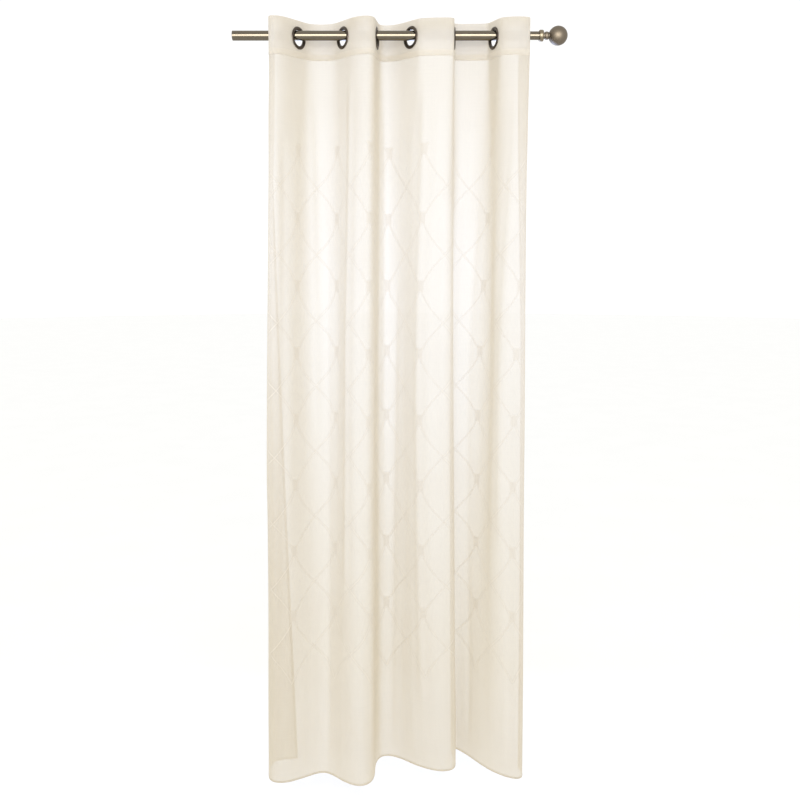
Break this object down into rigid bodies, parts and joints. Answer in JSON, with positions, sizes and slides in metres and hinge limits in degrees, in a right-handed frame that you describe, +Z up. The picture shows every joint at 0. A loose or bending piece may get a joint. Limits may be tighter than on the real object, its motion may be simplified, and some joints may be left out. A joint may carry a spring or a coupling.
{
  "type": "voile eyelet curtain on a rod",
  "caption": "Sheer ivory voile curtain with a woven trellis, hung in uneven folds by metal eyelets on a telescopic rod with a ball finial.",
  "frame": {"origin": "on the rod's axis, midway between the rod's plain left end and the tip of the ball finial", "axes": "+Z up, +X to the right as the curtain is seen from the room, along the rod towards the finial; +Y away from the room"},
  "size_m": [1.005, 0.2072, 2.347],
  "materials": {
    "voile": "sheer ivory voile with a woven trellis",
    "band": "turned and stiffened voile heading",
    "eyelet_metal": "gunmetal plated, satin",
    "rod_metal": "brushed warm nickel",
    "finial_metal": "aged nickel, satin"
  },
  "bodies": {
    "root": {"voile_panel": "voile", "heading_band": "band", "eyelet_1_face": "eyelet_metal", "eyelet_1_back": "eyelet_metal", "eyelet_2_face": "eyelet_metal", "eyelet_2_back": "eyelet_metal", "eyelet_3_face": "eyelet_metal", "eyelet_3_back": "eyelet_metal", "eyelet_4_face": "eyelet_metal", "eyelet_4_back": "eyelet_metal", "eyelet_5_face": "eyelet_metal", "eyelet_5_back": "eyelet_metal", "eyelet_6_face": "eyelet_metal", "eyelet_6_back": "eyelet_metal", "eyelet_7_face": "eyelet_metal", "eyelet_7_back": "eyelet_metal", "eyelet_8_face": "eyelet_metal", "eyelet_8_back": "eyelet_metal", "rod_outer_tube": "rod_metal", "rod_inner_tube": "rod_metal", "finial_collar": "finial_metal", "finial_knob": "finial_metal"}
  },
  "joints": []
}
